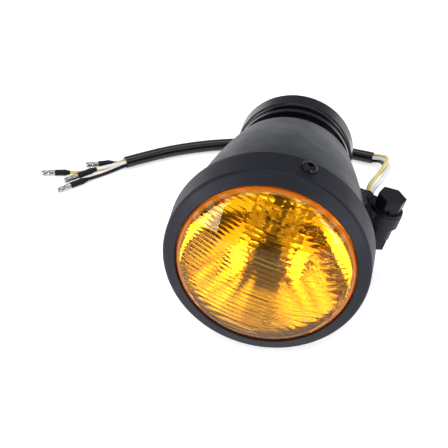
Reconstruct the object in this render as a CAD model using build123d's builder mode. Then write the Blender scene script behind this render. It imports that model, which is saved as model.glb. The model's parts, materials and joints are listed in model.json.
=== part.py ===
"""Bullet-shaped motorcycle fog light, lying on its side on a flat surface.

Every piece is drawn in the lamp's own frame and then laid down by `at_rest`:
    Y  is the optical axis, 0 at the plane of the bezel's opening, growing towards the rear cap,
    X  points from the axis to the mounting lug (the lamp's underside when it is fitted),
    Z  is the pivot bolt's axis.
The leads lie on the surface, so their routes are drawn directly in the rest frame.
"""

import os
from math import atan2, cos, degrees, radians, sin, tan

from build123d import *

os.makedirs("parts", exist_ok=True)

# ---------------------------------------------------------------- driving dimensions, mm
APERTURE_R = 57.0  # opening of the bezel, a 4.5 inch lens
BEZEL_R = 65.5
BEZEL_BACK = 28.5
BEZEL_WALL = 2.2
SEAT_FRONT = 3.6  # front of the lens flange, under the bezel's lip
LENS_FLANGE = 3.2
GASKET_DEPTH = 1.8
REFLECTOR_SKIN = 1.0
FOCAL_LENGTH = 22.0
BULB_HOLE_R = 19.0
BODY_FRONT_R = 61.0
BODY_MID_R = 54.8
BODY_MID = 65.5
BODY_REAR_R = 43.0
BODY_REAR = 112.0
BODY_WALL = 2.2
COLLAR_R = 32.0
COLLAR_BACK = 128.0
CAP_R = 38.9
CAP_BACK = 150.0
EDGE_R = 2.0  # rounding of the two edges that the lamp lies on
BOLT_R = 5.0  # M10
BOLT_X = 66.0
BOLT_Y = 89.0
LUG_R = 11.0
LUG_TOP = 14.6
LUG_BOTTOM = 5.6
EYE_R = 9.2
EYE_TOP = 5.1
EYE_BOTTOM = -4.4
HEX_FLATS = 17.0
NUT_FLATS = 16.0
WIRE_R = 1.2
LANE = 1.3  # half the spacing of the four leads
SLEEVE_R = 4.0
SLEEVE_BORE_R = 3.3
ROLL = 17.0  # turn about the optical axis, lug towards the surface

# ---------------------------------------------------------------- rest placement
bezel_rest_y = BEZEL_BACK - EDGE_R
bezel_rest_r = BEZEL_R - EDGE_R
cap_rest_y = CAP_BACK - EDGE_R
cap_rest_r = CAP_R - EDGE_R
TILT = degrees(atan2(bezel_rest_r - cap_rest_r, cap_rest_y - bezel_rest_y))
REST_HEIGHT = bezel_rest_y * sin(radians(TILT)) + bezel_rest_r * cos(radians(TILT)) + EDGE_R
REST_X = -7.18
REST_Y = -68.9
at_rest = Location((REST_X, REST_Y, REST_HEIGHT)) * Location((0, 0, 0), (-TILT, 0, 0)) * Location(
    (0, 0, 0), (0, ROLL, 0)
)

pieces = {}


def keep(name, shape):
    """Lay a finished piece down and remember it for export."""
    pieces[name] = at_rest * shape


def radial_plane(angle, radius, y):
    """A plane that faces outwards from the optical axis, `angle` from X towards Z."""
    a = radians(angle)
    out = (cos(a), 0, sin(a))
    return Plane(origin=(radius * cos(a), y, radius * sin(a)), x_dir=(0, 1, 0), z_dir=out)


def axis_plane(y):
    """A plane across the optical axis that faces the rear."""
    return Plane(origin=(0, y, 0), x_dir=(1, 0, 0), z_dir=(0, 1, 0))


def bolt_plane(z):
    """A plane across the pivot bolt, facing its head, with its origin on the bolt's axis."""
    return Plane(origin=(BOLT_X, BOLT_Y, z), x_dir=(1, 0, 0), z_dir=(0, 0, 1))


def outward_plane(x, y, z):
    """A plane at a point that faces X; its own axes are Y and Z."""
    return Plane(origin=(x, y, z), x_dir=(0, 1, 0), z_dir=(1, 0, 0))


# ---------------------------------------------------------------- bezel and its screws
SCREW_ANGLES = [88.0, 268.0]
SCREW_Y = 18.0
SCREW_SEAT_R = BEZEL_R - 0.4
SCREW_R = 3.0
bezel_bore_r = BEZEL_R - BEZEL_WALL
bezel_corner = (BEZEL_R, 3.9)

with BuildPart() as bezel_ring:
    with BuildSketch(Plane.XY) as bezel_section:
        Polygon(
            (APERTURE_R, 0.0),
            bezel_corner,
            (BEZEL_R, BEZEL_BACK),
            (bezel_bore_r, BEZEL_BACK),
            (bezel_bore_r, 5.6),
            (61.5, SEAT_FRONT),
            (APERTURE_R, SEAT_FRONT),
            align=None,
        )
        fillet(bezel_section.vertices().sort_by_distance(bezel_corner)[0], 3.0)
        fillet(bezel_section.vertices().sort_by_distance((BEZEL_R, BEZEL_BACK))[0], EDGE_R)
        fillet(bezel_section.vertices().sort_by_distance((APERTURE_R, 0.0))[0], 0.6)
    revolve(axis=Axis.Y)
    for angle in SCREW_ANGLES:
        with BuildSketch(radial_plane(angle, SCREW_SEAT_R, SCREW_Y)):
            Circle(5.6)
        extrude(amount=4.0, mode=Mode.SUBTRACT)
        with BuildSketch(radial_plane(angle, BEZEL_R - 6.0, SCREW_Y)):
            Circle(SCREW_R + 0.2)
        extrude(amount=10.0, mode=Mode.SUBTRACT)
keep("bezel_ring", bezel_ring.part)

with BuildPart() as bezel_screws:
    for angle in SCREW_ANGLES:
        with BuildSketch(radial_plane(angle, SCREW_SEAT_R, SCREW_Y)):
            Circle(5.25)
        extrude(amount=3.3)
        crown = bezel_screws.edges().filter_by(GeomType.CIRCLE).sort_by_distance(
            radial_plane(angle, SCREW_SEAT_R + 3.3, SCREW_Y).origin
        )[0]
        fillet(crown, 2.4)
        with BuildSketch(radial_plane(angle, SCREW_SEAT_R + 1.3, SCREW_Y)):
            RegularPolygon(2.0, 6, major_radius=False)
        extrude(amount=4.0, mode=Mode.SUBTRACT)
        with BuildSketch(radial_plane(angle, SCREW_SEAT_R - 9.0, SCREW_Y)):
            Circle(SCREW_R)
        extrude(amount=9.0)
keep("bezel_screws", bezel_screws.part)

# ---------------------------------------------------------------- housing
# A spun bullet shell with a stepped rim that the bezel slides over, and a rear collar.
SHELL_RIM_R = bezel_bore_r - 0.3
SHELL_FRONT = 11.0
SHELL_STEP = 26.0
GROMMET_ANGLE = 22.0
GROMMET_Y = 81.0
GROMMET_R = 51.3  # outside of the shell at the grommet
GROMMET_SLOPE = 13.6  # the shell's taper there
GROMMET_HOLE_R = 4.6
LUG_SADDLE_IN = 40.0
LUG_SADDLE_HEIGHT = 6.6
LUG_SCREW_SEAT = 56.0
LUG_SCREW_Y = [BOLT_Y - 14.0, BOLT_Y + 14.0]
LUG_SCREW_Z = 9.1
GROMMET_FLANGE_R = 5.8



def grommet_plane(height):
    """A plane on the grommet's axis, parallel to the shell's surface and `height` outside it."""
    a = radians(GROMMET_ANGLE)
    slope = radians(GROMMET_SLOPE)
    out = Vector(cos(a) * cos(slope), sin(slope), sin(a) * cos(slope))
    root = Vector(GROMMET_R * cos(a), GROMMET_Y, GROMMET_R * sin(a))
    return Plane(origin=root + out * height, x_dir=(-sin(a), 0, cos(a)), z_dir=out)


body_curve = [(BODY_FRONT_R, SHELL_STEP + 2.5), (BODY_MID_R, BODY_MID), (BODY_REAR_R, BODY_REAR - 1.0)]
with BuildPart() as housing_shell:
    with BuildSketch(Plane.XY) as shell_section:
        with BuildLine():
            ThreePointArc(*body_curve)
            ThreePointArc(*[(r - BODY_WALL, y - 0.4) for r, y in body_curve])
            Polyline(
                body_curve[0],
                (SHELL_RIM_R, SHELL_STEP),
                (SHELL_RIM_R, SHELL_FRONT),
                (SHELL_RIM_R - 2.0, SHELL_FRONT),
                (SHELL_RIM_R - 2.0, SHELL_STEP - 1.4),
                (BODY_FRONT_R - BODY_WALL, SHELL_STEP + 2.1),
            )
            Polyline(
                body_curve[2],
                (BODY_REAR_R - 1.6, BODY_REAR),
                (COLLAR_R, BODY_REAR),
                (COLLAR_R, COLLAR_BACK),
                (COLLAR_R - 2.4, COLLAR_BACK),
                (COLLAR_R - 2.4, BODY_REAR - 2.4),
                (BODY_REAR_R - BODY_WALL - 1.0, BODY_REAR - 2.4),
                (BODY_REAR_R - BODY_WALL, BODY_REAR - 1.4),
            )
        make_face()
    revolve(axis=Axis.Y)
    for angle in SCREW_ANGLES:
        with BuildSketch(radial_plane(angle, SHELL_RIM_R - 7.0, SCREW_Y)):
            Circle(5.5)
        extrude(amount=6.2)
        with BuildSketch(radial_plane(angle, SHELL_RIM_R - 8.0, SCREW_Y)):
            Circle(SCREW_R)
        extrude(amount=10.0, mode=Mode.SUBTRACT)
    with BuildSketch(grommet_plane(-10.0)):
        Circle(GROMMET_HOLE_R)
    extrude(amount=20.0, mode=Mode.SUBTRACT)
    with BuildSketch(outward_plane(BODY_REAR_R - 8.0, 0, 0)):
        with Locations(*[(y, LUG_SCREW_Z) for y in LUG_SCREW_Y]):
            Circle(2.7)
    extrude(amount=20.0, mode=Mode.SUBTRACT)
    with BuildSketch(axis_plane(COLLAR_BACK - 7.0)):
        Circle(COLLAR_R + 1.0)
        Circle(COLLAR_R - 1.3, mode=Mode.SUBTRACT)
    extrude(amount=2.8, mode=Mode.SUBTRACT)
keep("housing_shell", housing_shell.part)

# ---------------------------------------------------------------- lens, gasket, reflector
LENS_SPHERE_R = 125.0
LENS_FACE_R = 52.0
LENS_FACE_Y = -3.4
LENS_WALL = 3.4
lens_centre = LENS_FACE_Y + (LENS_SPHERE_R**2 - LENS_FACE_R**2) ** 0.5
lens_apex = lens_centre - LENS_SPHERE_R


def on_sphere(radius, r):
    """Distance along the axis of a sphere about the lens's centre, at radius r from the axis."""
    return lens_centre - (radius**2 - r**2) ** 0.5


inner_sphere_r = LENS_SPHERE_R - LENS_WALL
flange_back = SEAT_FRONT + LENS_FLANGE
with BuildPart() as lens:
    with BuildSketch(Plane.XY):
        with BuildLine():
            ThreePointArc((0, lens_apex), (26, on_sphere(LENS_SPHERE_R, 26)), (LENS_FACE_R, LENS_FACE_Y))
            Polyline(
                (LENS_FACE_R, LENS_FACE_Y),
                (55.8, 0.4),
                (56.2, SEAT_FRONT),
                (61.0, SEAT_FRONT),
                (61.0, flange_back),
                (53.4, flange_back),
                (49.6, on_sphere(inner_sphere_r, 49.6)),
            )
            ThreePointArc(
                (49.6, on_sphere(inner_sphere_r, 49.6)),
                (25, on_sphere(inner_sphere_r, 25)),
                (0, lens_apex + LENS_WALL),
            )
            Line((0, lens_apex + LENS_WALL), (0, lens_apex))
        make_face()
    revolve(axis=Axis.Y)
keep("lens", lens.part)

gasket_back = flange_back + GASKET_DEPTH
with BuildPart() as lens_gasket:
    with BuildSketch(axis_plane(flange_back)):
        Circle(61.4)
        Circle(55.2, mode=Mode.SUBTRACT)
    extrude(amount=GASKET_DEPTH)
keep("lens_gasket", lens_gasket.part)

DISH_R = 53.4
NECK_BACK = 42.0
PILOT_R = 36.0
PILOT_HOLE_R = 5.2
PILOT_ANGLE = 180.0
dish_back = gasket_back + 0.8
vertex = dish_back + DISH_R**2 / (4 * FOCAL_LENGTH)


def on_dish(r):
    """Distance along the axis of the reflector's paraboloid at radius r."""
    return vertex - r**2 / (4 * FOCAL_LENGTH)


dish_radii = [BULB_HOLE_R + (DISH_R - BULB_HOLE_R) * i / 6 for i in range(7)]
dish_outside = [(r * (1 + 1.4 / DISH_R), on_dish(r) + 0.6 + (DISH_R - r) / 75) for r in dish_radii]
with BuildPart() as reflector:
    with BuildSketch(Plane.XY):
        with BuildLine():
            Spline(*[(r, on_dish(r)) for r in dish_radii])
            Polyline(
                (DISH_R, on_dish(DISH_R)),
                (DISH_R, gasket_back),
                (61.4, gasket_back),
                (61.4, gasket_back + REFLECTOR_SKIN),
                (DISH_R + 1.4, gasket_back + REFLECTOR_SKIN),
                (DISH_R + 1.4, dish_back + 0.6),
            )
            Spline(*dish_outside[::-1])
            Polyline(
                dish_outside[0],
                (BULB_HOLE_R + 1.2, NECK_BACK - 1.2),
                (26.0, NECK_BACK - 1.2),
                (26.0, NECK_BACK),
                (BULB_HOLE_R, NECK_BACK),
                (BULB_HOLE_R, on_dish(BULB_HOLE_R)),
            )
        make_face()
    revolve(axis=Axis.Y)
    with BuildSketch(axis_plane(0).offset(20.0)):
        with Locations((-PILOT_R, 0)):
            Circle(PILOT_HOLE_R)
    extrude(amount=30.0, mode=Mode.SUBTRACT)
keep("reflector", reflector.part)

# ---------------------------------------------------------------- bulb
FLANGE_Y = NECK_BACK
GLASS_R = 8.0
GLASS_TIP = FLANGE_Y - 38.0
BASE_BACK = FLANGE_Y + 10.0
INSULATOR_BACK = BASE_BACK + 6.0
BLADE_BACK = INSULATOR_BACK + 9.0
CONNECTOR_FRONT = INSULATOR_BACK + 2.0
CONNECTOR_BACK = CONNECTOR_FRONT + 18.0
BLADES = [((0, -6.5), 0), ((-6.5, 1.5), 90), ((6.5, 1.5), 90)]

with BuildPart() as bulb_base:
    with BuildSketch(axis_plane(FLANGE_Y)):
        Circle(21.0)
        with PolarLocations(21.0, 3, 90):
            Rectangle(5.0, 6.0)
    extrude(amount=1.2)
    with BuildSketch(axis_plane(FLANGE_Y + 1.2)):
        Circle(13.0)
    extrude(amount=BASE_BACK - FLANGE_Y - 1.2)
    with BuildSketch(axis_plane(FLANGE_Y - 8.0)):
        Circle(10.5)
    extrude(amount=8.0)
    with BuildSketch(axis_plane(FLANGE_Y - 9.0)):
        Circle(GLASS_R)
    extrude(amount=6.0, mode=Mode.SUBTRACT)
keep("bulb_base", bulb_base.part)

with BuildPart() as bulb_glass:
    with BuildSketch(Plane.XY):
        with BuildLine():
            CenterArc((0, GLASS_TIP + GLASS_R), GLASS_R, -90, 90)
            Polyline(
                (GLASS_R, GLASS_TIP + GLASS_R),
                (GLASS_R, FLANGE_Y - 3.0),
                (GLASS_R - 1.2, FLANGE_Y - 3.0),
                (GLASS_R - 1.2, GLASS_TIP + GLASS_R),
            )
            CenterArc((0, GLASS_TIP + GLASS_R), GLASS_R - 1.2, 0, -90)
            Line((0, GLASS_TIP + 1.2), (0, GLASS_TIP))
        make_face()
    revolve(axis=Axis.Y)
keep("bulb_glass", bulb_glass.part)

focus = vertex - FOCAL_LENGTH
with BuildPart() as bulb_filaments:
    for y, x in ((focus - 3.0, 0.0), (focus + 4.0, 0.0)):
        with BuildSketch(Plane(origin=(x, y, 0), x_dir=(1, 0, 0), z_dir=(0, 1, 0))):
            Circle(0.7)
        extrude(amount=4.5)
with BuildPart() as bulb_shield:
    with BuildSketch(axis_plane(focus - 6.0)):
        Circle(5.4)
        Circle(4.9, mode=Mode.SUBTRACT)
        with Locations((0, -6.0)):
            Rectangle(14.0, 12.0, mode=Mode.SUBTRACT)
    extrude(amount=9.0)
    with BuildSketch(Plane(origin=(0, focus + 1.0, -5.15), x_dir=(1, 0, 0), z_dir=(0, 1, 0))):
        Rectangle(2.0, 0.5)
    extrude(amount=FLANGE_Y - 4.0 - focus)
keep("bulb_filaments", bulb_filaments.part)
keep("bulb_shield", bulb_shield.part)

with BuildPart() as bulb_insulator:
    with BuildSketch(axis_plane(BASE_BACK)):
        Circle(12.0)
    extrude(amount=INSULATOR_BACK - BASE_BACK)
keep("bulb_insulator", bulb_insulator.part)

with BuildPart() as bulb_terminals:
    for place, turn in BLADES:
        with BuildSketch(axis_plane(INSULATOR_BACK)):
            with Locations(place):
                Rectangle(7.8, 0.8, rotation=turn)
        extrude(amount=BLADE_BACK - INSULATOR_BACK)
keep("bulb_terminals", bulb_terminals.part)

with BuildPart() as bulb_connector:
    with BuildSketch(axis_plane(CONNECTOR_FRONT)) as connector_section:
        Rectangle(24.0, 22.0)
        fillet(connector_section.vertices(), 3.0)
    extrude(amount=CONNECTOR_BACK - CONNECTOR_FRONT)
    for place, turn in BLADES:
        with BuildSketch(axis_plane(CONNECTOR_FRONT)):
            with Locations(place):
                Rectangle(8.2, 1.2, rotation=turn)
        extrude(amount=BLADE_BACK - CONNECTOR_FRONT + 1.0, mode=Mode.SUBTRACT)
keep("bulb_connector", bulb_connector.part)

RETAINER_WIRE_R = 0.8
retainer_y = FLANGE_Y + 1.2 + RETAINER_WIRE_R
with BuildPart() as bulb_retainer:
    with BuildLine():
        FilletPolyline(
            (-8.0, retainer_y, 24.0),
            (-16.0, retainer_y, 6.0),
            (-15.5, retainer_y, -14.0),
            (15.5, retainer_y, -14.0),
            (16.0, retainer_y, 6.0),
            (8.0, retainer_y, 24.0),
            radius=4.0,
        )
    with BuildSketch(Plane(origin=(-8.0, retainer_y, 24.0), z_dir=(-8.0, 0, -18.0))):
        Circle(RETAINER_WIRE_R)
    sweep()
keep("bulb_retainer", bulb_retainer.part)

# ---------------------------------------------------------------- parking bulb
pilot_front = on_dish(PILOT_R) - 6.0
with BuildPart() as pilot_holder:
    with BuildSketch(axis_plane(pilot_front + 2.0)):
        with Locations((-PILOT_R, 0)):
            Circle(5.0)
    extrude(amount=22.0)
    with BuildSketch(axis_plane(on_dish(PILOT_R - 7.5) + 1.8)):
        with Locations((-PILOT_R, 0)):
            Circle(7.5)
    extrude(amount=2.0)
    with BuildSketch(axis_plane(pilot_front + 2.0)):
        with Locations((-PILOT_R, 0)):
            Circle(3.4)
    extrude(amount=8.0, mode=Mode.SUBTRACT)
keep("pilot_holder", pilot_holder.part)

with BuildPart() as pilot_bulb:
    with BuildSketch(axis_plane(pilot_front)):
        with Locations((-PILOT_R, 0)):
            Circle(3.2)
    extrude(amount=9.5)
    fillet(pilot_bulb.edges().sort_by(Axis.Y)[0], 2.8)
keep("pilot_bulb", pilot_bulb.part)

# ---------------------------------------------------------------- rear cap
CAP_FRONT = BODY_REAR + 0.8
CAP_BORE_R = COLLAR_R + 0.3
CAP_NECK_R = 35.4
CAP_DOME = 5.4
cap_corners = [(CAP_R, 136.0), (CAP_R, CAP_BACK)]
cap_dome_r = (CAP_R**2 + CAP_DOME**2) / (2 * CAP_DOME)


def cap_dome_y(r):
    """Distance along the axis of the cap's domed back at radius r."""
    return CAP_BACK + CAP_DOME - cap_dome_r + (cap_dome_r**2 - r**2) ** 0.5


with BuildPart() as rear_cap:
    with BuildSketch(Plane.XY) as cap_section:
        with BuildLine():
            Polyline(
                (0, CAP_BACK - 4.0),
                (34.2, CAP_BACK - 4.0),
                (34.2, 138.0),
                (30.0, 134.0),
                (30.0, COLLAR_BACK + 0.6),
                (CAP_BORE_R, COLLAR_BACK + 0.6),
                (CAP_BORE_R, CAP_FRONT),
                (CAP_NECK_R, CAP_FRONT),
                (CAP_NECK_R, 127.4),
                (38.3, 127.4),
                (38.3, 130.6),
                (36.4, 130.6),
                (36.4, 136.0),
                *cap_corners,
            )
            ThreePointArc((CAP_R, CAP_BACK), (20.0, cap_dome_y(20.0)), (0, CAP_BACK + CAP_DOME))
            Line((0, CAP_BACK + CAP_DOME), (0, CAP_BACK - 4.0))
        make_face()
        for corner in cap_corners:
            fillet(cap_section.vertices().sort_by_distance(corner)[0], EDGE_R)
    revolve(axis=Axis.Y)
keep("rear_cap", rear_cap.part)

with BuildPart() as rear_cap_seal:
    with BuildSketch(axis_plane(COLLAR_BACK - 6.8)):
        Circle(COLLAR_R)
        Circle(COLLAR_R - 1.3, mode=Mode.SUBTRACT)
    extrude(amount=2.4)
keep("rear_cap_seal", rear_cap_seal.part)

# ---------------------------------------------------------------- lug on the housing
with BuildPart() as body_solid:
    with BuildSketch(Plane.XY):
        with BuildLine():
            ThreePointArc(*body_curve)
            Polyline(body_curve[2], (0, body_curve[2][1]), (0, body_curve[0][1]), body_curve[0])
        make_face()
    revolve(axis=Axis.Y)

with BuildPart() as mount_lug:
    with BuildSketch(bolt_plane(LUG_BOTTOM)):
        Circle(LUG_R)
        with Locations((-14.0, 0)):
            Rectangle(28.0, 18.0)
    extrude(amount=LUG_TOP - LUG_BOTTOM)
    with BuildSketch(outward_plane(LUG_SADDLE_IN, BOLT_Y, LUG_SCREW_Z)):
        RectangleRounded(38.0, LUG_SADDLE_HEIGHT, 2.0)
    extrude(amount=LUG_SCREW_SEAT - LUG_SADDLE_IN)
    with BuildSketch(bolt_plane(LUG_BOTTOM)):
        Circle(BOLT_R + 0.25)
    extrude(amount=LUG_TOP - LUG_BOTTOM, mode=Mode.SUBTRACT)
    for y in LUG_SCREW_Y:
        with BuildSketch(outward_plane(LUG_SADDLE_IN, y, LUG_SCREW_Z)):
            Circle(2.7)
        extrude(amount=20.0, mode=Mode.SUBTRACT)
    with BuildSketch(grommet_plane(-1.0)):
        Circle(GROMMET_FLANGE_R + 0.6)
    extrude(amount=8.0, mode=Mode.SUBTRACT)
    add(body_solid.part, mode=Mode.SUBTRACT)
keep("mount_lug", mount_lug.part)

LUG_NUT_FACE = [46.5, 38.7]
with BuildPart() as mount_screws:
    for y, nut_face in zip(LUG_SCREW_Y, LUG_NUT_FACE):
        with BuildSketch(outward_plane(LUG_SCREW_SEAT, y, LUG_SCREW_Z)):
            Circle(3.5)
        extrude(amount=2.6)
        with BuildSketch(outward_plane(nut_face - 5.0, y, LUG_SCREW_Z)):
            Circle(2.5)
        extrude(amount=LUG_SCREW_SEAT - nut_face + 5.0)
        with BuildSketch(outward_plane(LUG_SCREW_SEAT + 1.0, y, LUG_SCREW_Z)):
            RegularPolygon(1.5, 6, major_radius=False)
        extrude(amount=3.0, mode=Mode.SUBTRACT)
keep("mount_screws", mount_screws.part)

with BuildPart() as mount_nuts:
    for y, nut_face in zip(LUG_SCREW_Y, LUG_NUT_FACE):
        with BuildSketch(outward_plane(nut_face, y, LUG_SCREW_Z)):
            RegularPolygon(4.0, 6, major_radius=False)
            Circle(2.5, mode=Mode.SUBTRACT)
        extrude(amount=-4.0)
keep("mount_nuts", mount_nuts.part)

# ---------------------------------------------------------------- pivot hardware
LOCK_WASHER = 2.6
FLAT_WASHER = 2.0
HEAD_SEAT = LUG_TOP + FLAT_WASHER + LOCK_WASHER
BOLT_LENGTH = 40.0
HEAD_HEIGHT = 6.8
NUT_TOP = EYE_BOTTOM - 0.2
NUT_HEIGHT = 8.2

with BuildPart() as pivot_bolt:
    with BuildSketch(bolt_plane(HEAD_SEAT)):
        RegularPolygon(HEX_FLATS / 2, 6, major_radius=False, rotation=12.0)
    extrude(amount=HEAD_HEIGHT)
    with BuildSketch(bolt_plane(HEAD_SEAT)):
        Circle(HEX_FLATS / 2 + 1.1)
    extrude(amount=HEAD_HEIGHT, mode=Mode.INTERSECT)
    with BuildSketch(bolt_plane(HEAD_SEAT)):
        Circle(BOLT_R)
    extrude(amount=-BOLT_LENGTH)
    chamfer(pivot_bolt.edges().filter_by(GeomType.CIRCLE).sort_by(Axis.Z)[0], 1.2)
keep("pivot_bolt", pivot_bolt.part)

with BuildPart() as lock_washer:
    with BuildSketch(bolt_plane(LUG_TOP + FLAT_WASHER)):
        Circle(8.6)
        Circle(BOLT_R + 0.15, mode=Mode.SUBTRACT)
        with Locations((0, -7.0)):
            Rectangle(1.2, 6.0, rotation=25.0, mode=Mode.SUBTRACT)
    extrude(amount=LOCK_WASHER)
keep("lock_washer", lock_washer.part)

with BuildPart() as flat_washer:
    with BuildSketch(bolt_plane(LUG_TOP)):
        Circle(10.6)
        Circle(BOLT_R + 0.25, mode=Mode.SUBTRACT)
    extrude(amount=FLAT_WASHER)
keep("flat_washer", flat_washer.part)

with BuildPart() as pivot_nut:
    with BuildSketch(bolt_plane(NUT_TOP)):
        RegularPolygon(NUT_FLATS / 2, 6, major_radius=False, rotation=30.0)
        Circle(BOLT_R, mode=Mode.SUBTRACT)
    extrude(amount=-NUT_HEIGHT)
keep("pivot_nut", pivot_nut.part)

# ---------------------------------------------------------------- swivel bracket
# The eye turns on the pivot bolt; its foot plate bolts to the vehicle and touches the surface.
FOOT_IN = BOLT_X - 13.5
FOOT_OUT = BOLT_X - 9.6
FOOT_HALF = 8.0
FOOT_HOLE_R = 4.5
tilt_sin, tilt_cos = sin(radians(TILT)), cos(radians(TILT))
roll_sin, roll_cos = sin(radians(ROLL)), cos(radians(ROLL))
foot_drop = FOOT_HALF * (tilt_sin**2 + (tilt_cos * roll_cos) ** 2) ** 0.5
foot_height = REST_HEIGHT - BOLT_Y * tilt_sin - FOOT_OUT * roll_sin * tilt_cos - foot_drop
FOOT_Z = -foot_height / (tilt_cos * roll_cos)

with BuildPart() as swivel_bracket:
    with BuildSketch(bolt_plane(EYE_BOTTOM)):
        Circle(EYE_R)
        with Locations(((FOOT_IN - BOLT_X) / 2, 0)):
            Rectangle(BOLT_X - FOOT_IN, 2 * FOOT_HALF)
    extrude(amount=EYE_TOP - EYE_BOTTOM)
    with BuildSketch(outward_plane(FOOT_IN, BOLT_Y, 0)):
        with Locations((0, FOOT_Z)):
            Circle(FOOT_HALF)
        with Locations((0, (FOOT_Z + EYE_TOP) / 2)):
            Rectangle(2 * FOOT_HALF, EYE_TOP - FOOT_Z)
    extrude(amount=FOOT_OUT - FOOT_IN)
    with BuildSketch(bolt_plane(EYE_BOTTOM)):
        Circle(BOLT_R + 0.05)
    extrude(amount=EYE_TOP - EYE_BOTTOM, mode=Mode.SUBTRACT)
    with BuildSketch(outward_plane(FOOT_IN, BOLT_Y, FOOT_Z)):
        Circle(FOOT_HOLE_R)
    extrude(amount=FOOT_OUT - FOOT_IN, mode=Mode.SUBTRACT)
keep("swivel_bracket", swivel_bracket.part)

# ---------------------------------------------------------------- wire grommet
# Moulded rubber: a plug through the shell, a flange outside it, and a nose that leans back.
GROMMET_LEAN = 75.0
PLUG_DEPTH = 7.6
NOSE_R = 3.4
NOSE_LENGTH = 7.0
nose_root = grommet_plane(2.2).origin
outwards = radial_plane(GROMMET_ANGLE, GROMMET_R, GROMMET_Y)
nose_dir = outwards.z_dir * cos(radians(GROMMET_LEAN)) + outwards.x_dir * sin(radians(GROMMET_LEAN))
with BuildPart() as wire_grommet:
    with BuildSketch(grommet_plane(-PLUG_DEPTH)):
        Circle(GROMMET_HOLE_R)
    extrude(amount=PLUG_DEPTH + 0.5)
    with BuildSketch(grommet_plane(0.05)):
        Circle(GROMMET_FLANGE_R)
    extrude(amount=1.6)
    with BuildSketch(grommet_plane(0.5)):
        Circle(4.0)
    extrude(amount=2.6)
    with BuildSketch(Plane(origin=nose_root, z_dir=nose_dir)):
        Circle(NOSE_R)
    extrude(amount=NOSE_LENGTH)
keep("wire_grommet", wire_grommet.part)
nose_end = at_rest * Location(nose_root + nose_dir * NOSE_LENGTH)
print("leads leave at", nose_end.position)


# ---------------------------------------------------------------- leads
def corner_radii(route):
    """The largest tangent arc that each corner's two runs allow."""
    radii = []
    for a, b, c in zip(route, route[1:], route[2:]):
        run_in = Vector(*b) - Vector(*a)
        run_out = Vector(*c) - Vector(*b)
        half_turn = radians(run_in.get_angle(run_out) / 2)
        radii.append(0.45 * min(run_in.length, run_out.length) / tan(half_turn))
    return radii


def tube(name, route, radius, bore_radius=0.0):
    """A round tube of straight runs and tangent arcs along a route."""
    radii = corner_radii(route)
    with BuildPart() as made:
        with BuildLine() as path:
            FilletPolyline(*route, radius=radii)
        with BuildSketch(Plane(origin=route[0], z_dir=Vector(*route[1]) - Vector(*route[0]))) as section:
            Circle(radius)
            if bore_radius:
                Circle(bore_radius, mode=Mode.SUBTRACT)
        sweep()
    length = sum(edge.length for edge in path.edges())
    print(name, "length", round(length, 1), "smallest radius", round(min(radii), 1))
    print("   volume over section times length", round(made.part.volume / (section.sketch.area * length), 4))
    return made.part


# Inside the lamp, from the connector and the parking bulb straight into the grommet's plug.
INNER_ROUTES = {
    "yellow": [(-6.5, 78, -1.5), (-4, 92, 5), (15, 94, 18)],
    "white": [(0, 78, 6.5), (4, 90, 13), (17, 86, 21)],
    "black": [(6.5, 78, -1.5), (8, 90, 2), (16, 90, 12)],
    "brown": [(-36, 45.2, 0), (-34, 66, 4), (-26, 80, 9), (-13, 102, 15), (6, 105, 9), (22, 93, 4)],
}
PLUG_LANES = {
    "yellow": (LANE, -LANE),
    "white": (LANE, LANE),
    "black": (-LANE, LANE),
    "brown": (-LANE, -LANE),
}
PLUG_RUN = 15.0
plug_face = grommet_plane(-PLUG_DEPTH)
for colour, route in INNER_ROUTES.items():
    into_plug = [plug_face.from_local_coords((*PLUG_LANES[colour], run)) for run in (-PLUG_RUN, 0)]
    route = route + [(point.X, point.Y, point.Z) for point in into_plug]
    keep(f"inner_wire_{colour}", tube(f"inner {colour}", route, WIRE_R))

# From here on the routes are in the rest frame: X to the right, Z up from the surface.
SLEEVE_ROUTE = [
    (43.6, 109.0, 4.0),
    (29.0, 111.2, 4.0),
    (4.0, 113.2, 4.0),
    (-28.0, 112.6, 4.0),
    (-58.0, 107.4, 4.0),
    (-84.0, 99.4, 4.0),
    (-107.0, 88.8, 4.0),
    (-126.3, 77.0, 4.0),
]
# Each lead hangs in a loop between the grommet and the sleeve, keeps to its lane in the sleeve
# (to the right of its heading, above the middle), and fans out to its terminal.
LOOPS = {
    "yellow": [
        (46.7, 18.9, 56.8),
        (47.4, 27.7, 54.5),
        (49.5, 42.3, 47.2),
        (51.8, 57.2, 39.9),
        (53.7, 72.5, 32.2),
        (54.9, 87.5, 23.4),
        (53.6, 99.7, 15.2),
        (49.6, 107.1, 8.5),
    ],
    "white": [
        (49.2, 18.3, 56.8),
        (50.4, 27.3, 54.4),
        (53.1, 41.7, 46.4),
        (55.2, 56.8, 38.1),
        (56.0, 72.5, 29.2),
        (54.9, 87.5, 20.0),
        (51.7, 99.1, 13.0),
        (47.8, 105.3, 8.1),
    ],
    "black": [
        (46.6, 18.5, 54.2),
        (46.3, 27.9, 51.6),
        (47.4, 42.6, 44.1),
        (49.8, 57.4, 35.8),
        (52.2, 72.6, 26.4),
        (52.9, 87.3, 16.9),
        (51.0, 98.9, 9.9),
        (47.8, 105.3, 5.0),
    ],
    "brown": [
        (49.1, 17.8, 54.2),
        (49.9, 27.4, 51.4),
        (51.9, 41.9, 43.1),
        (54.1, 56.9, 34.5),
        (55.6, 72.5, 25.6),
        (55.9, 87.6, 16.8),
        (54.0, 99.8, 10.1),
        (49.8, 107.2, 5.3),
    ],
}
LANES = {
    "yellow": (LANE, LANE),
    "white": (-LANE, LANE),
    "black": (-LANE, -LANE),
    "brown": (LANE, -LANE),
}
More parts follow.
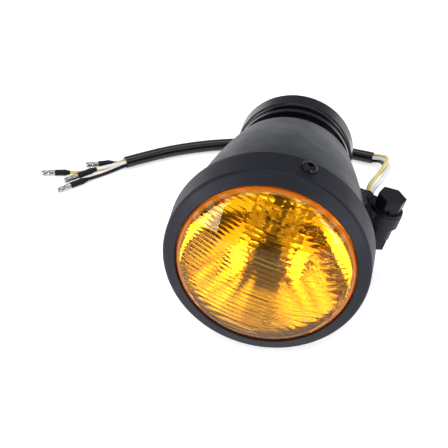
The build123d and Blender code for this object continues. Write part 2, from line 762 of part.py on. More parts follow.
TAILS = {
    "yellow": [(-134.4, 73.4, 3.4), (-144.0, 69.3, 1.3), (-154.5, 65.0, 1.25)],
    "white": [(-135.4, 70.6, 5.6)],
    "black": [(-133.0, 70.6, 1.6), (-141.5, 64.0, 1.4)],
    "brown": [(-130.9, 77.6, 2.0)],
}
# Back of the boot, front of the boot, tip of the terminal.
ENDS = {
    "yellow": [(-162.6, 62.6, 2.3), (-172.8, 60.8, 2.3), (-182.4, 59.1, 2.1)],
    "white": [(-144.6, 66.4, 4.8), (-155.9, 58.6, 4.1), (-164.6, 53.0, 2.9)],
    "black": [(-149.2, 58.0, 2.3), (-159.3, 50.2, 2.3), (-167.0, 43.6, 2.1)],
    "brown": [(-134.8, 77.1, 2.4), (-144.7, 74.2, 2.3), (-153.6, 72.0, 2.1)],
}
BOOT_R = 2.25
TERMINAL_R = 1.95


def lane(route, right, above):
    """A route moved to the right of its heading and up."""
    moved = []
    for i, (x, y, z) in enumerate(route):
        before = route[max(i - 1, 0)]
        after = route[min(i + 1, len(route) - 1)]
        heading = (Vector(*after) - Vector(*before)).normalized()
        moved.append((x + right * heading.Y, y - right * heading.X, z + above))
    return moved


def straight_piece(start, end, build):
    """A turned piece along a line: `build` gives (radius, share of the length) sections."""
    along = Vector(*end) - Vector(*start)
    with BuildPart() as made:
        place = 0.0
        for radius_in, radius_out, share in build:
            origin = Vector(*start) + along * place
            with Locations(Plane(origin=origin, z_dir=along)):
                Cone(
                    radius_in,
                    radius_out,
                    along.length * share,
                    align=(Align.CENTER, Align.CENTER, Align.MIN),
                )
            place += share
    return made.part


BOOT_SECTIONS = [
    (1.5, 2.0, 0.22),
    (2.0, BOOT_R, 0.1),
    (BOOT_R, BOOT_R - 0.05, 0.6),
    (BOOT_R - 0.05, 2.05, 0.08),
]
TERMINAL_SECTIONS = [
    (1.7, TERMINAL_R, 0.12),
    (TERMINAL_R, TERMINAL_R - 0.01, 0.4),
    (TERMINAL_R - 0.4, TERMINAL_R - 0.39, 0.1),
    (TERMINAL_R, TERMINAL_R - 0.01, 0.24),
    (TERMINAL_R, 1.3, 0.14),
]
for colour, loop in LOOPS.items():
    route = loop + lane(SLEEVE_ROUTE, *LANES[colour]) + TAILS[colour] + [ENDS[colour][0]]
    pieces[f"lead_{colour}"] = tube(f"lead {colour}", route, WIRE_R)
    pieces[f"boot_{colour}"] = straight_piece(ENDS[colour][0], ENDS[colour][1], BOOT_SECTIONS)
    pieces[f"bullet_{colour}"] = straight_piece(ENDS[colour][1], ENDS[colour][2], TERMINAL_SECTIONS)
pieces["lead_sleeve"] = tube("sleeve", SLEEVE_ROUTE, SLEEVE_R, SLEEVE_BORE_R)

for name, piece in pieces.items():
    piece.label = name
    export_step(piece, f"parts/{name}.step")
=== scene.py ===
"""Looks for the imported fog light: leads, glass, reflector, small parts, finishes, light and camera."""

import json
from math import cos, hypot, pi, radians, sin, sqrt

import bmesh
import bpy
from mathutils import Matrix, Vector, noise


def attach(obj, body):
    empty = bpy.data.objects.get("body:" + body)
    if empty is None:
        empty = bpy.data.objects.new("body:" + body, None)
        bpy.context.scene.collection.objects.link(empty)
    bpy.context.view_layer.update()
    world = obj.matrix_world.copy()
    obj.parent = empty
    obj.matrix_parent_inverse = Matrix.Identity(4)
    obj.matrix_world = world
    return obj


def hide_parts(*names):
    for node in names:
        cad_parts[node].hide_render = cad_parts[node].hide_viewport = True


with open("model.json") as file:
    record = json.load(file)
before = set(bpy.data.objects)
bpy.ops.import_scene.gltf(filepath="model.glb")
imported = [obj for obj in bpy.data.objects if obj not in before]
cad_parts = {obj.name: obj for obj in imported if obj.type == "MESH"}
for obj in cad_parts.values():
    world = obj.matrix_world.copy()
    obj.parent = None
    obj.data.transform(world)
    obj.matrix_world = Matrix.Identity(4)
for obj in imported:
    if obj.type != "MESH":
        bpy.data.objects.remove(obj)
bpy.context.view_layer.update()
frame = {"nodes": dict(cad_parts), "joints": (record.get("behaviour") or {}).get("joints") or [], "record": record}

MM = 0.001
scene = bpy.context.scene
nodes = frame["nodes"]

# ---------------------------------------------------------------- the lamp's own axes, from its joints
joints = {joint["name"]: joint for joint in frame["joints"]}
lamp_y = Vector(joints["rear_cap_pull"]["axis"]).normalized()
lamp_z = Vector(joints["aim_pivot"]["axis"]).normalized()
lamp_x = lamp_y.cross(lamp_z)
PIVOT_IN_LAMP = Vector((66.0, 89.0, 0.35)) * MM
turn = Matrix((lamp_x, lamp_y, lamp_z)).transposed()
LAMP = turn.to_4x4()
LAMP.translation = Vector(joints["aim_pivot"]["pos_m"]) - turn @ PIVOT_IN_LAMP


def in_lamp(x, y, z):
    """A point of the lamp's own frame, in mm, as a point of the row frame."""
    return LAMP @ (Vector((x, y, z)) * MM)


# ---------------------------------------------------------------- camera
CAMERA_PLACE = (0.103759, -0.916677, 0.957361)
CAMERA_RIGHT = (0.98721, 0.15942, 0.0)
CAMERA_UP = (-0.11252, 0.69679, 0.70840)
SENSOR_WIDTH = 36.0
FOCAL_LENGTH = 160.71
camera_data = bpy.data.cameras.new("camera")
camera_data.sensor_width = SENSOR_WIDTH
camera_data.lens = FOCAL_LENGTH
camera = bpy.data.objects.new("camera", camera_data)
right = Vector(CAMERA_RIGHT)
up = Vector(CAMERA_UP)
camera.matrix_world = Matrix((right, up, right.cross(up))).transposed().to_4x4()
camera.matrix_world.translation = Vector(CAMERA_PLACE)
scene.collection.objects.link(camera)
scene.camera = camera


# ---------------------------------------------------------------- node helpers
class Paint:
    """A Principled material that is built up with a few procedural layers."""

    def __init__(self, name, color, roughness, metallic=0.0, **sockets):
        self.material = bpy.data.materials.new(name)
        self.material.use_nodes = True
        self.tree = self.material.node_tree
        self.shader = self.tree.nodes["Principled BSDF"]
        self.color = color
        self.roughness = roughness
        self.shader.inputs["Base Color"].default_value = (*color, 1.0)
        self.shader.inputs["Roughness"].default_value = roughness
        self.shader.inputs["Metallic"].default_value = metallic
        for socket, value in sockets.items():
            self.shader.inputs[socket.replace("_", " ")].default_value = value
        self.height = None

    def node(self, kind, **settings):
        made = self.tree.nodes.new(kind)
        for key, value in settings.items():
            setattr(made, key, value)
        return made

    def link(self, out, into):
        self.tree.links.new(out, into)

    def noise(self, scale, detail=3.0, stretch=(1.0, 1.0, 1.0)):
        place = self.node("ShaderNodeTexCoord")
        mapping = self.node("ShaderNodeMapping")
        mapping.inputs["Scale"].default_value = stretch
        made = self.node("ShaderNodeTexNoise")
        made.inputs["Scale"].default_value = scale
        made.inputs["Detail"].default_value = detail
        self.link(place.outputs["Object"], mapping.inputs["Vector"])
        self.link(mapping.outputs["Vector"], made.inputs["Vector"])
        return made.outputs["Fac"]

    def spread(self, source, low, high, from_low=0.3, from_high=0.7):
        made = self.node("ShaderNodeMapRange")
        made.inputs["From Min"].default_value = from_low
        made.inputs["From Max"].default_value = from_high
        made.inputs["To Min"].default_value = low
        made.inputs["To Max"].default_value = high
        self.link(source, made.inputs["Value"])
        return made.outputs["Result"]

    def vary_color(self, source, other, from_low=0.3, from_high=0.7):
        mix = self.node("ShaderNodeMix", data_type="RGBA")
        mix.inputs["A"].default_value = (*self.color, 1.0)
        mix.inputs["B"].default_value = (*other, 1.0)
        self.link(self.spread(source, 0.0, 1.0, from_low, from_high), mix.inputs["Factor"])
        self.link(mix.outputs["Result"], self.shader.inputs["Base Color"])
        return self

    def vary_roughness(self, source, low, high):
        self.link(self.spread(source, low, high), self.shader.inputs["Roughness"])
        return self

    def bump(self, source, depth_mm, strength):
        made = self.node("ShaderNodeBump")
        made.inputs["Distance"].default_value = depth_mm * MM
        made.inputs["Strength"].default_value = strength
        self.link(source, made.inputs["Height"])
        if self.height:
            self.link(self.height, made.inputs["Normal"])
        self.height = made.outputs["Normal"]
        self.link(self.height, self.shader.inputs["Normal"])
        return self


COOL_SHEEN = (0.84, 0.87, 1.0, 1.0)


def powder_coat(name, color, roughness, grain=900.0):
    paint = Paint(name, color, roughness, Specular_IOR_Level=0.18, Specular_Tint=COOL_SHEEN)
    paint.bump(paint.noise(grain, 2.0), 0.06, 0.35)
    paint.bump(paint.noise(180.0, 2.0), 0.05, 0.12)
    paint.vary_roughness(paint.noise(60.0), roughness - 0.05, roughness + 0.06)
    paint.vary_color(paint.noise(25.0), tuple(c * 1.25 for c in color))
    return paint.material


def moulded(name, color, roughness, shade=0.8, grain=0.03, shine=0.5):
    paint = Paint(name, color, roughness, Specular_IOR_Level=shine)
    paint.bump(paint.noise(500.0, 2.0), grain, 0.3)
    paint.vary_roughness(paint.noise(80.0), roughness - 0.06, roughness + 0.08)
    paint.vary_color(paint.noise(40.0), tuple(c * shade for c in color))
    return paint.material


def plated(name, color, roughness):
    paint = Paint(name, color, roughness, 1.0)
    paint.bump(paint.noise(700.0, 3.0, (1.0, 6.0, 1.0)), 0.02, 0.15)
    paint.vary_roughness(paint.noise(220.0), roughness - 0.08, roughness + 0.12)
    paint.vary_color(paint.noise(150.0), tuple(c * 0.7 for c in color))
    return paint.material


MATERIALS = {
    "bezel_black": powder_coat("bezel_black", (0.0085, 0.0085, 0.0115), 0.46),
    "body_black": powder_coat("body_black", (0.0105, 0.011, 0.015), 0.42),
    "hardware_black": powder_coat("hardware_black", (0.006, 0.006, 0.007), 0.3, 500.0),
    "cap_black": moulded("cap_black", (0.004, 0.004, 0.005), 0.22, shine=0.3),
    "black_rubber": moulded("black_rubber", (0.006, 0.006, 0.008), 0.42, 1.3, 0.05, 0.22),
    "connector_black": moulded("connector_black", (0.02, 0.02, 0.02), 0.45),
    "sleeve_black": moulded("sleeve_black", (0.004, 0.004, 0.005), 0.24, 1.2, 0.02, 0.4),
    "wire_yellow": moulded("wire_yellow", (0.78, 0.55, 0.03), 0.35, 0.85, 0.02),
    "wire_white": moulded("wire_white", (0.80, 0.80, 0.80), 0.35, 0.92, 0.02),
    "wire_black": moulded("wire_black", (0.005, 0.005, 0.006), 0.3, 1.3, 0.02, 0.3),
    "wire_brown": moulded("wire_brown", (0.035, 0.014, 0.009), 0.3, 0.8, 0.02),
    "terminal_tin": plated("terminal_tin", (0.44, 0.435, 0.43), 0.26),
    "zinc_steel": plated("zinc_steel", (0.55, 0.54, 0.52), 0.3),
    "tungsten": plated("tungsten", (0.3, 0.3, 0.32), 0.35),
}


def mirror_coat():
    """Bright metal on the inside of the dish, very slightly wavy."""
    paint = Paint("reflector_silver", (0.93, 0.93, 0.91), 0.05, 1.0)
    paint.vary_roughness(paint.noise(90.0), 0.04, 0.09)
    paint.bump(paint.noise(45.0, 2.0), 0.06, 0.25)
    return paint.material


def clear_glass():
    """Blown glass of the two bulbs."""
    paint = Paint("clear_glass", (0.97, 0.97, 0.96), 0.02, Transmission_Weight=1.0, IOR=1.47)
    paint.bump(paint.noise(60.0, 1.0), 0.05, 0.1)
    return paint.material


# Radii, in mm, between which the glass turns from amber to a painted deeper orange red: painted shade standing in
# for light passing through the thick rim seen edge on.
SHADED_RIM_FROM = 53.4
SHADED_RIM_TO = 54.8


def amber_glass():
    """Amber glass whose rim, outside the pattern, is painted a deeper, less clear orange red: painted shade of
    thick glass seen edge on.
    """
    amber = Paint("amber_glass", (1.0, 0.62, 0.065), 0.02, Transmission_Weight=1.0, IOR=1.42)
    amber.shader.inputs["Specular Tint"].default_value = (1.0, 0.74, 0.42, 1.0)
    amber.bump(amber.noise(120.0, 2.0), 0.03, 0.2)
    place = amber.node("ShaderNodeTexCoord")
    offset = amber.node("ShaderNodeVectorMath", operation="SUBTRACT")
    offset.inputs[1].default_value = in_lamp(0.0, 0.0, 0.0)
    across = amber.node("ShaderNodeVectorMath", operation="CROSS_PRODUCT")
    across.inputs[1].default_value = lamp_y
    radius = amber.node("ShaderNodeVectorMath", operation="LENGTH")
    amber.link(place.outputs["Object"], offset.inputs[0])
    amber.link(offset.outputs["Vector"], across.inputs[0])
    amber.link(across.outputs["Vector"], radius.inputs[0])
    distance = radius.outputs["Value"]
    # Painted shade: deeper orange red and less transmission towards the rim, standing in for light through thick
    # glass seen edge on.
    amber.vary_color(distance, (0.90, 0.20, 0.01), SHADED_RIM_FROM * MM, SHADED_RIM_TO * MM)
    rim_shade_transmission = amber.spread(distance, 1.0, 0.5, SHADED_RIM_FROM * MM, SHADED_RIM_TO * MM)
    amber.link(rim_shade_transmission, amber.shader.inputs["Transmission Weight"])
    return amber.material


MATERIALS["reflector_silver"] = mirror_coat()
MATERIALS["clear_glass"] = clear_glass()
MATERIALS["amber_glass"] = amber_glass()

record_slots = {part["node"]: part["material_slot"] for part in frame["record"]["subparts"]}
for name, obj in nodes.items():
    for material_slot in obj.material_slots:
        material_slot.material = MATERIALS[record_slots[name]]


# ---------------------------------------------------------------- mesh helpers
def add_mesh(name, verts, faces, slot, node=None):
    """A new piece: a mesh in the row frame with a record slot's finish, riding on the lamp."""
    mesh = bpy.data.meshes.new(name)
    mesh.from_pydata([tuple(v) for v in verts], [], faces)
    mesh.validate()
    mesh.materials.append(MATERIALS[slot])
    for polygon in mesh.polygons:
        polygon.use_smooth = True
    obj = bpy.data.objects.new(name, mesh)
    scene.collection.objects.link(obj)
    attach(obj, "lamp")
    if node:
        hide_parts(node)
    return obj


def sharp_edges(obj, angle):
    """Shades a piece smooth except over edges that are sharper than the angle, in degrees."""
    mesh = obj.data
    normals = {}
    for polygon in mesh.polygons:
        for key in polygon.edge_keys:
            normals.setdefault(key, []).append(polygon.normal)
    limit = cos(radians(angle))
    for edge in mesh.edges:
        pair = normals.get(tuple(sorted(edge.vertices)), [])
        if len(pair) == 2 and pair[0].dot(pair[1]) < limit:
            edge.use_edge_sharp = True


def lathe(profile, segments):
    """Rings of a turned closed profile of (radius, distance) points, as verts and faces in mm."""
    verts = []
    faces = []
    count = len(profile)
    for step in range(segments):
        angle = 2 * pi * step / segments
        for radius, along in profile:
            verts.append((radius * cos(angle), along, radius * sin(angle)))
    for step in range(segments):
        here = step * count
        there = (step + 1) % segments * count
        for i in range(count):
            j = (i + 1) % count
            faces.append((here + i, there + i, there + j, here + j))
    return verts, faces


def weld(obj, distance=1e-6):
    """Merges the points of a piece that meet, and turns its normals outwards."""
    work = bmesh.new()
    work.from_mesh(obj.data)
    bmesh.ops.remove_doubles(work, verts=work.verts, dist=distance)
    bmesh.ops.dissolve_degenerate(work, dist=distance, edges=work.edges)
    bmesh.ops.recalc_face_normals(work, faces=work.faces)
    work.to_mesh(obj.data)
    work.free()
    return obj


# ---------------------------------------------------------------- leads
# Routes in mm of the row frame, the same lists as in the part's source.
SLEEVE_ROUTE = [
    (43.6, 109.0, 4.0),
    (29.0, 111.2, 4.0),
    (4.0, 113.2, 4.0),
    (-28.0, 112.6, 4.0),
    (-58.0, 107.4, 4.0),
    (-84.0, 99.4, 4.0),
    (-107.0, 88.8, 4.0),
    (-126.3, 77.0, 4.0),
]
LOOPS = {
    "yellow": [
        (46.7, 18.9, 56.8),
        (47.4, 27.7, 54.5),
        (49.5, 42.3, 47.2),
        (51.8, 57.2, 39.9),
        (53.7, 72.5, 32.2),
        (54.9, 87.5, 23.4),
        (53.6, 99.7, 15.2),
        (49.6, 107.1, 8.5),
    ],
    "white": [
        (49.2, 18.3, 56.8),
        (50.4, 27.3, 54.4),
        (53.1, 41.7, 46.4),
        (55.2, 56.8, 38.1),
        (56.0, 72.5, 29.2),
        (54.9, 87.5, 20.0),
        (51.7, 99.1, 13.0),
        (47.8, 105.3, 8.1),
    ],
    "black": [
        (46.6, 18.5, 54.2),
        (46.3, 27.9, 51.6),
        (47.4, 42.6, 44.1),
        (49.8, 57.4, 35.8),
        (52.2, 72.6, 26.4),
        (52.9, 87.3, 16.9),
        (51.0, 98.9, 9.9),
        (47.8, 105.3, 5.0),
    ],
    "brown": [
        (49.1, 17.8, 54.2),
        (49.9, 27.4, 51.4),
        (51.9, 41.9, 43.1),
        (54.1, 56.9, 34.5),
        (55.6, 72.5, 25.6),
        (55.9, 87.6, 16.8),
        (54.0, 99.8, 10.1),
        (49.8, 107.2, 5.3),
    ],
}
LANE = 1.3  # how far each lead lies from the sleeve's middle, both ways
LANES = {
    "yellow": (LANE, LANE),
    "white": (-LANE, LANE),
    "black": (-LANE, -LANE),
    "brown": (LANE, -LANE),
}
TAILS = {
    "yellow": [(-134.4, 73.4, 3.4), (-144.0, 69.3, 1.3), (-154.5, 65.0, 1.25)],
    "white": [(-135.4, 70.6, 5.6)],
    "black": [(-133.0, 70.6, 1.6), (-141.5, 64.0, 1.4)],
    "brown": [(-130.9, 77.6, 2.0)],
}
ENDS = {
    "yellow": [(-162.6, 62.6, 2.3), (-172.8, 60.8, 2.3), (-182.4, 59.1, 2.1)],
    "white": [(-144.6, 66.4, 4.8), (-155.9, 58.6, 4.1), (-164.6, 53.0, 2.9)],
    "black": [(-149.2, 58.0, 2.3), (-159.3, 50.2, 2.3), (-167.0, 43.6, 2.1)],
    "brown": [(-134.8, 77.1, 2.4), (-144.7, 74.2, 2.3), (-153.6, 72.0, 2.1)],
}
WIRE_R = 1.2
TURNED_SEGMENTS = 28
TUBE_SEGMENTS = 32


def lane(route, right, above):
    """A route moved to the right of its heading and up."""
    moved = []
    for i, (x, y, z) in enumerate(route):
        before = route[max(i - 1, 0)]
        after = route[min(i + 1, len(route) - 1)]
        heading = (Vector(after) - Vector(before)).normalized()
        moved.append((x + right * heading.y, y - right * heading.x, z + above))
    return moved


def spline_curve(name, route, radius):
    """A curve with one smooth NURBS spline whose control points are the route, given in mm."""
    curve = bpy.data.curves.new(name, "CURVE")
    curve.dimensions = "3D"
    curve.resolution_u = 8
    spline = curve.splines.new("NURBS")
    spline.points.add(len(route) - 1)
    for point, place in zip(spline.points, route):
        point.co = (*(c * MM for c in place), 1.0)
    spline.order_u = 3
    spline.use_endpoint_u = True
    curve.bevel_depth = radius * MM
    curve.bevel_resolution = 5
    curve.use_fill_caps = True
    obj = bpy.data.objects.new(name, curve)
    scene.collection.objects.link(obj)
    return obj


def turned_along(start, end, profile):
    """A turned piece from start to end; the profile is (radius in mm, share of the length)."""
    start = Vector(start) * MM
    end = Vector(end) * MM
    along = end - start
    spin = along.to_track_quat("Z", "Y")
    verts = []
    faces = []
    count = len(profile)
    for step in range(TURNED_SEGMENTS):
        angle = 2 * pi * step / TURNED_SEGMENTS
        for radius, share in profile:
            out = spin @ Vector((cos(angle), sin(angle), 0.0)) * radius * MM
            verts.append(start + along * share + out)
    for step in range(TURNED_SEGMENTS):
        here = step * count
        there = (step + 1) % TURNED_SEGMENTS * count
        for i in range(count - 1):
            faces.append((here + i, there + i, there + i + 1, here + i + 1))
    return verts, faces


# Profiles of the terminals: radius in mm, share of the length.
BOOT = [
    (0.0, 0.0),
    (1.35, 0.0),
    (1.5, 0.03),
    (1.6, 0.12),
    (1.85, 0.2),
    (2.2, 0.3),
    (2.25, 0.38),
    (2.2, 0.46),
    (2.12, 0.6),
    (2.14, 0.8),
    (2.18, 0.94),
    (2.1, 0.99),
    (1.98, 1.0),
    (0.0, 1.0),
]
BULLET = [
    (0.0, 0.0),
    (1.6, 0.0),
    (1.78, 0.03),
    (1.9, 0.1),
    (1.93, 0.3),
    (1.9, 0.46),
    (1.72, 0.5),
    (1.62, 0.54),
    (1.66, 0.58),
    (1.86, 0.64),
    (1.92, 0.72),
    (1.86, 0.84),
    (1.6, 0.94),
    (1.3, 0.985),
    (1.1, 1.0),
    (0.9, 0.985),
    (0.85, 0.9),
    (0.8, 0.8),
    (0.0, 0.79),
]

for colour, loop in LOOPS.items():
    route = loop + lane(SLEEVE_ROUTE, *LANES[colour]) + TAILS[colour] + [ENDS[colour][0]]
    lead = spline_curve(f"wire_{colour}", route, WIRE_R)
    lead.data.materials.append(MATERIALS[f"wire_{colour}"])
    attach(lead, "lamp")
    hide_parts(f"lead_{colour}")
    back_end, front_end, tip = ENDS[colour]
    boot = weld(add_mesh(
        f"end_boot_{colour}", *turned_along(back_end, front_end, BOOT), "black_rubber",
        node=f"boot_{colour}",
    ))
    bullet = weld(add_mesh(
        f"end_bullet_{colour}", *turned_along(front_end, tip, BULLET), "terminal_tin",
        node=f"bullet_{colour}",
    ))
    sharp_edges(boot, 50.0)
    sharp_edges(bullet, 40.0)

# The sleeve is an open tube round the four leads, along the same kind of spline.
SLEEVE_R = 4.0
SLEEVE_BORE_R = 3.3
guide = spline_curve("sleeve_guide", SLEEVE_ROUTE, 0.0)
guide.data.use_fill_caps = False
guide_mesh = bpy.data.meshes.new_from_object(guide)
guide_line = [v.co.copy() for v in guide_mesh.vertices]
bpy.data.objects.remove(guide)
bpy.data.meshes.remove(guide_mesh)


def hollow_tube(line, outer, bore):
    """An open tube with a wall, along a line of points; verts and faces in the row frame."""
    verts = []
    faces = []
    rows = [(i, outer) for i in range(len(line))] + [(i, bore) for i in reversed(range(len(line)))]
    for i, radius in rows:
        heading = (line[min(i + 1, len(line) - 1)] - line[max(i - 1, 0)]).normalized()
        side = heading.cross(Vector((0, 0, 1))).normalized()
        top = side.cross(heading)
        for step in range(TUBE_SEGMENTS):
            angle = 2 * pi * step / TUBE_SEGMENTS
            verts.append(line[i] + (side * cos(angle) + top * sin(angle)) * radius * MM)
    for row in range(len(rows)):
        here = row * TUBE_SEGMENTS
        there = (row + 1) % len(rows) * TUBE_SEGMENTS
        for step in range(TUBE_SEGMENTS):
            after = (step + 1) % TUBE_SEGMENTS
            faces.append((here + step, here + after, there + after, there + step))
    return verts, faces


sleeve = add_mesh(
    "sleeve_tube", *hollow_tube(guide_line, SLEEVE_R, SLEEVE_BORE_R), "sleeve_black",
    node="lead_sleeve",
)
sharp_edges(sleeve, 50.0)

# ---------------------------------------------------------------- lens
LENS_SPHERE_R = 125.0
LENS_WALL = 3.4
FACE_R = 52.0
FACE_Y = -3.4
INNER_R = 52.6
FLANGE_R = 61.0
SEAT_FRONT = 3.6
SEAT_BACK = 6.8
lens_centre = FACE_Y + sqrt(LENS_SPHERE_R**2 - FACE_R**2)


def outer_y(r):
    return lens_centre - sqrt(LENS_SPHERE_R**2 - r * r)


def inner_y(r):
    return lens_centre - sqrt((LENS_SPHERE_R - LENS_WALL) ** 2 - r * r)


FINE = 3.1  # pitch of the flutes over most of the lens
LOWER = 3.6  # pitch of the flutes near the bottom
COARSE = 4.4  # pitch of the waves on the right
ZONE_X = 11.0  # where the waves begin
FINE_DEPTH = 0.44
LOWER_DEPTH = 0.34
COARSE_DEPTH = 0.40
LOWER_TOP = -26.0  # the lower flutes lie below this, between two distances from the middle
LOWER_LEFT = -34.0
LOWER_RIGHT = 8.0
BLOCKS_FROM = 12.0  # the blocks lie above this, round a middle
BLOCKS_MIDDLE = -2.0
BLOCKS_HALF = 22.0
BLOCK_WIDE = 5.0
BLOCK_HIGH = 3.4
EDGE_FADE = 2.5  # width over which the pattern dies out at the rim
SHIFT = 60.0  # keeps the places of the pattern positive


def cell(i, j):
    """A repeatable value from -1 to 1 for a cell of the block pattern."""
    return noise.cell(Vector((i + 0.5, j + 0.5, 3.5))) * 2 - 1


def flute(place, pitch, depth):
    """Height of a rounded flute that repeats at a pitch."""
    v = (place + SHIFT) / pitch % 1.0 - 0.5
    return depth * (1 - 4 * v * v)


def blocks(x, z):
    """Height of the tilted blocks above the middle."""
    i = int((x + SHIFT) // BLOCK_WIDE)
    j = int((z + SHIFT) // BLOCK_HIGH)
    u = (x + SHIFT) / BLOCK_WIDE - i - 0.5
    v = (z + SHIFT) / BLOCK_HIGH - j - 0.5
    return 0.22 * (1 - 4 * v * v) + 0.35 * cell(i, j) * u + 0.18 * cell(i, j + 40) * v


def waves(x, z, r):
    """Height of the drawn-out waves on the right, shallower near the rim."""
    wander = 1.1 * sin((x - ZONE_X) * 0.23 + z * 0.11) + 0.6 * sin(x * 0.41 - z * 0.2)
    settle = min(1.0, max(0.35, (INNER_R - r) / 10.0))
    return flute(z + wander, COARSE, COARSE_DEPTH * settle)


def relief(x, z):
    """Height in mm of the pressed pattern on the inside of the lens, at a point of its plane."""
    r = hypot(x, z)
    fade = min(1.0, max(0.0, (INNER_R - 0.4 - r) / EDGE_FADE))
    if z > BLOCKS_FROM and abs(x - BLOCKS_MIDDLE) < BLOCKS_HALF:
        height = blocks(x, z)
    elif z < LOWER_TOP and LOWER_LEFT < x < LOWER_RIGHT:
        height = flute(z, LOWER, LOWER_DEPTH)
    elif x < ZONE_X:
        height = flute(z, FINE, FINE_DEPTH)
    else:
        height = waves(x, z, r)
    return height * fade


def build_lens():
    """Outer dome, rim and flange as rings; the inside as rows that follow the flutes."""
    dome_rings = 22
    rows = 481
    columns = 65
    sectors = 2 * (rows - 1)
    dome_radii = [FACE_R * i / dome_rings for i in range(1, dome_rings + 1)]
    profile = [(r, outer_y(r)) for r in dome_radii]
    profile += [
        (52.4, -3.1),
        (54.0, -1.45),
        (55.5, 0.1),
        (55.9, 0.7),
        (56.2, SEAT_FRONT),
        (FLANGE_R, SEAT_FRONT),
        (FLANGE_R, SEAT_BACK),
        (53.4, SEAT_BACK),
    ]
    verts = [(0.0, outer_y(0.0), 0.0)]
    faces = []
    count = len(profile)
    for step in range(sectors):
        angle = -pi / 2 + pi * step / (rows - 1)
        for radius, along in profile:
            verts.append((radius * cos(angle), along, radius * sin(angle)))
    for step in range(sectors):
        here = 1 + step * count
        there = 1 + (step + 1) % sectors * count
        faces.append((0, there, here))
        for i in range(count - 1):
            faces.append((here + i, there + i, there + i + 1, here + i + 1))
    grid = {}
    rim = {}
    for k in range(rows):
        angle = -pi / 2 + pi * k / (rows - 1)
        z = INNER_R * sin(angle)
        half = INNER_R * cos(angle)
        for c in range(columns):
            if k in (0, rows - 1) and c:
                grid[k, c] = grid[k, 0]
                continue
            x = half * (2 * c / (columns - 1) - 1)
            r = min(hypot(x, z), INNER_R)
            grid[k, c] = len(verts)
            verts.append((x, inner_y(r) + relief(x, z), z))
        rim[k] = grid[k, columns - 1]
        rim[(sectors - k) % sectors] = grid[k, 0]
    for k in range(rows - 1):
        for c in range(columns - 1):
            ring = [grid[k, c], grid[k, c + 1], grid[k + 1, c + 1], grid[k + 1, c]]
            ring = [v for i, v in enumerate(ring) if v != ring[i - 1]]
            if len(ring) > 2:
                faces.append(tuple(ring))
    for step in range(sectors):
        after = (step + 1) % sectors
        inner_edge = 1 + step * count + count - 1
        inner_after = 1 + after * count + count - 1
        faces.append((inner_edge, inner_after, rim[after], rim[step]))
    piece = add_mesh(
        "lens_glass", [in_lamp(*v) for v in verts], faces, "amber_glass", node="lens"
    )
    weld(piece, 1e-7)
    sharp_edges(piece, 40.0)


build_lens()

# ---------------------------------------------------------------- reflector, as one smooth dish
FOCAL = 22.0
DISH_R = 53.4
DISH_BACK = 9.4
vertex_y = DISH_BACK + DISH_R**2 / (4 * FOCAL)
DISH_WALL = 1.2
DISH_FLANGE_R = 61.4
DISH_FLANGE_FRONT = 8.6
DISH_FLANGE_BACK = 9.6
HOLE_R = 19.0
NECK_BACK = 42.0
NECK_FLANGE_R = 26.0
NECK_FRONT = NECK_BACK - DISH_WALL


def dish_y(r):
    return vertex_y - r * r / (4 * FOCAL)


DISH_STEPS = 40
dish_radii = [HOLE_R + (DISH_R - HOLE_R) * i / DISH_STEPS for i in range(DISH_STEPS + 1)]
dish_profile = [(r, dish_y(r)) for r in dish_radii]
dish_profile += [
    (DISH_R, DISH_FLANGE_FRONT),
    (DISH_FLANGE_R, DISH_FLANGE_FRONT),
    (DISH_FLANGE_R, DISH_FLANGE_BACK),
    (DISH_R + 1.4, DISH_FLANGE_BACK),
]
dish_profile += [(r + DISH_WALL, y + 0.7) for r, y in dish_profile[DISH_STEPS:0:-4]]
dish_profile += [
    (HOLE_R + DISH_WALL, NECK_FRONT),
    (NECK_FLANGE_R, NECK_FRONT),
    (NECK_FLANGE_R, NECK_BACK),
    (HOLE_R, NECK_BACK),
]
dish_verts, dish_faces = lathe(dish_profile, 160)
dish = weld(add_mesh(
    "reflector_dish", [in_lamp(*v) for v in dish_verts], dish_faces, "reflector_silver",
    node="reflector",
))
sharp_edges(dish, 40.0)

# ---------------------------------------------------------------- black paint on the bulb's tip
BULB_R = 8.0
BULB_TIP = 4.0
PAINTED = 12.0
PAINT_OUT = 0.12
PAINT_IN = 0.03
TIP_STEPS = 8
tip_angles = [pi / 2 * i / TIP_STEPS for i in range(TIP_STEPS + 1)]
tip_line = [(BULB_R * sin(a), BULB_TIP + BULB_R * (1 - cos(a))) for a in tip_angles]
tip_line.append((BULB_R, BULB_TIP + PAINTED))
paint_profile = [(r + PAINT_OUT, y - PAINT_OUT) for r, y in tip_line]
paint_profile += [(r + PAINT_IN, y) for r, y in reversed(tip_line)]
paint_profile[0] = (0.0, paint_profile[0][1])
paint_profile[-1] = (0.0, paint_profile[-1][1])
paint_verts, paint_faces = lathe(paint_profile, 40)
weld(add_mesh("bulb_tip_paint", [in_lamp(*v) for v in paint_verts], paint_faces, "connector_black"))

# ---------------------------------------------------------------- stage and light
FLOOR_GLOW = 0.47
FLOOR_HALF = 3
floor_corners = [(x * FLOOR_HALF, y * FLOOR_HALF, 0) for x, y in ((-1, -1), (1, -1), (1, 1), (-1, 1))]
floor_mesh = bpy.data.meshes.new("floor")
floor_mesh.from_pydata(floor_corners, [], [(0, 1, 2, 3)])
floor = bpy.data.objects.new("floor", floor_mesh)
scene.collection.objects.link(floor)
floor_paint = Paint("floor", (0.9, 0.9, 0.9), 0.8, Emission_Strength=FLOOR_GLOW)
floor_paint.shader.inputs["Emission Color"].default_value = (1.0, 1.0, 1.0, 1.0)
floor_mesh.materials.append(floor_paint.material)

COOL_WHITE = (0.86, 0.91, 1.0)

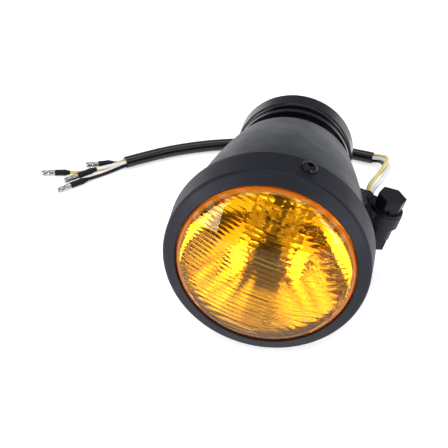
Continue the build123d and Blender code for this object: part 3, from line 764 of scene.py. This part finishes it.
# Bright towards the horizon, darker overhead and in front.
SKY_HORIZON = 0.47
SKY_ZENITH = 0.20
FRONT_SHADE = 0.35
ZENITH_FROM = 0.55
FRONT_FROM = -0.9
world = bpy.data.worlds.new("studio")
world.use_nodes = True
sky = world.node_tree
direction = sky.nodes.new("ShaderNodeTexCoord")
parts = sky.nodes.new("ShaderNodeSeparateXYZ")
shade = sky.nodes.new("ShaderNodeMapRange")
shade.inputs["From Max"].default_value = ZENITH_FROM
shade.inputs["To Min"].default_value = SKY_HORIZON
shade.inputs["To Max"].default_value = SKY_ZENITH
sky.links.new(direction.outputs["Generated"], parts.inputs["Vector"])
sky.links.new(parts.outputs["Z"], shade.inputs["Value"])
sky.nodes["Background"].inputs["Color"].default_value = (*COOL_WHITE, 1.0)
front = sky.nodes.new("ShaderNodeMapRange")
front.inputs["From Min"].default_value = FRONT_FROM
front.inputs["From Max"].default_value = 0.0
front.inputs["To Min"].default_value = FRONT_SHADE
front.inputs["To Max"].default_value = 1.0
product = sky.nodes.new("ShaderNodeMath")
product.operation = "MULTIPLY"
sky.links.new(parts.outputs["Y"], front.inputs["Value"])
sky.links.new(shade.outputs["Result"], product.inputs[0])
sky.links.new(front.outputs["Result"], product.inputs[1])
sky.links.new(product.outputs["Value"], sky.nodes["Background"].inputs["Strength"])
scene.world = world
scene.view_settings.view_transform = "Standard"


def softbox(name, place, target, size, power, color=(1.0, 1.0, 1.0)):
    """A rectangular area light at a place, in metres, that faces a target."""
    light = bpy.data.lights.new(name, "AREA")
    light.shape = "RECTANGLE"
    light.size = size[0]
    light.size_y = size[1]
    light.energy = power
    light.color = color
    obj = bpy.data.objects.new(name, light)
    obj.location = place
    obj.rotation_euler = (Vector(target) - Vector(place)).to_track_quat("-Z", "Y").to_euler()
    scene.collection.objects.link(obj)


def aimed(azimuth, elevation, distance):
    """A place at a bearing from the front and a height angle, in degrees, round the lamp."""
    a, e = radians(azimuth), radians(elevation)
    return (distance * sin(a) * cos(e), -distance * cos(a) * cos(e), distance * sin(e))


CENTRE = (0.0, 0.0, 0.05)
STRIP_HEIGHTS = (10, 26, 42, 58)
STRIP_BEARING = 76
STRIP_STEP = 5
STRIP_SIZE = (1.05, 0.2)
STRIP_POWER = 2.5
STRIP_DISTANCE = 1.5
WINDOW_DISTANCE = 1.45
softbox("key", (0.0, 0.7, 1.5), CENTRE, (1.3, 0.8), 10.5, COOL_WHITE)
softbox("left_window", aimed(-40, 15, WINDOW_DISTANCE), CENTRE, (0.42, 0.6), 11.0)
softbox("right_window", aimed(39, 15, WINDOW_DISTANCE), CENTRE, (0.36, 0.6), 10.0)
for side in (-1, 1):
    for row, elevation in enumerate(STRIP_HEIGHTS):
        bearing = side * (STRIP_BEARING - STRIP_STEP * row)
        place = aimed(bearing, elevation, STRIP_DISTANCE)
        softbox(f"strip_{side}_{row}", place, CENTRE, STRIP_SIZE, STRIP_POWER)
softbox("front_top", aimed(0, 72, 1.6), CENTRE, (1.3, 0.3), 2.5)
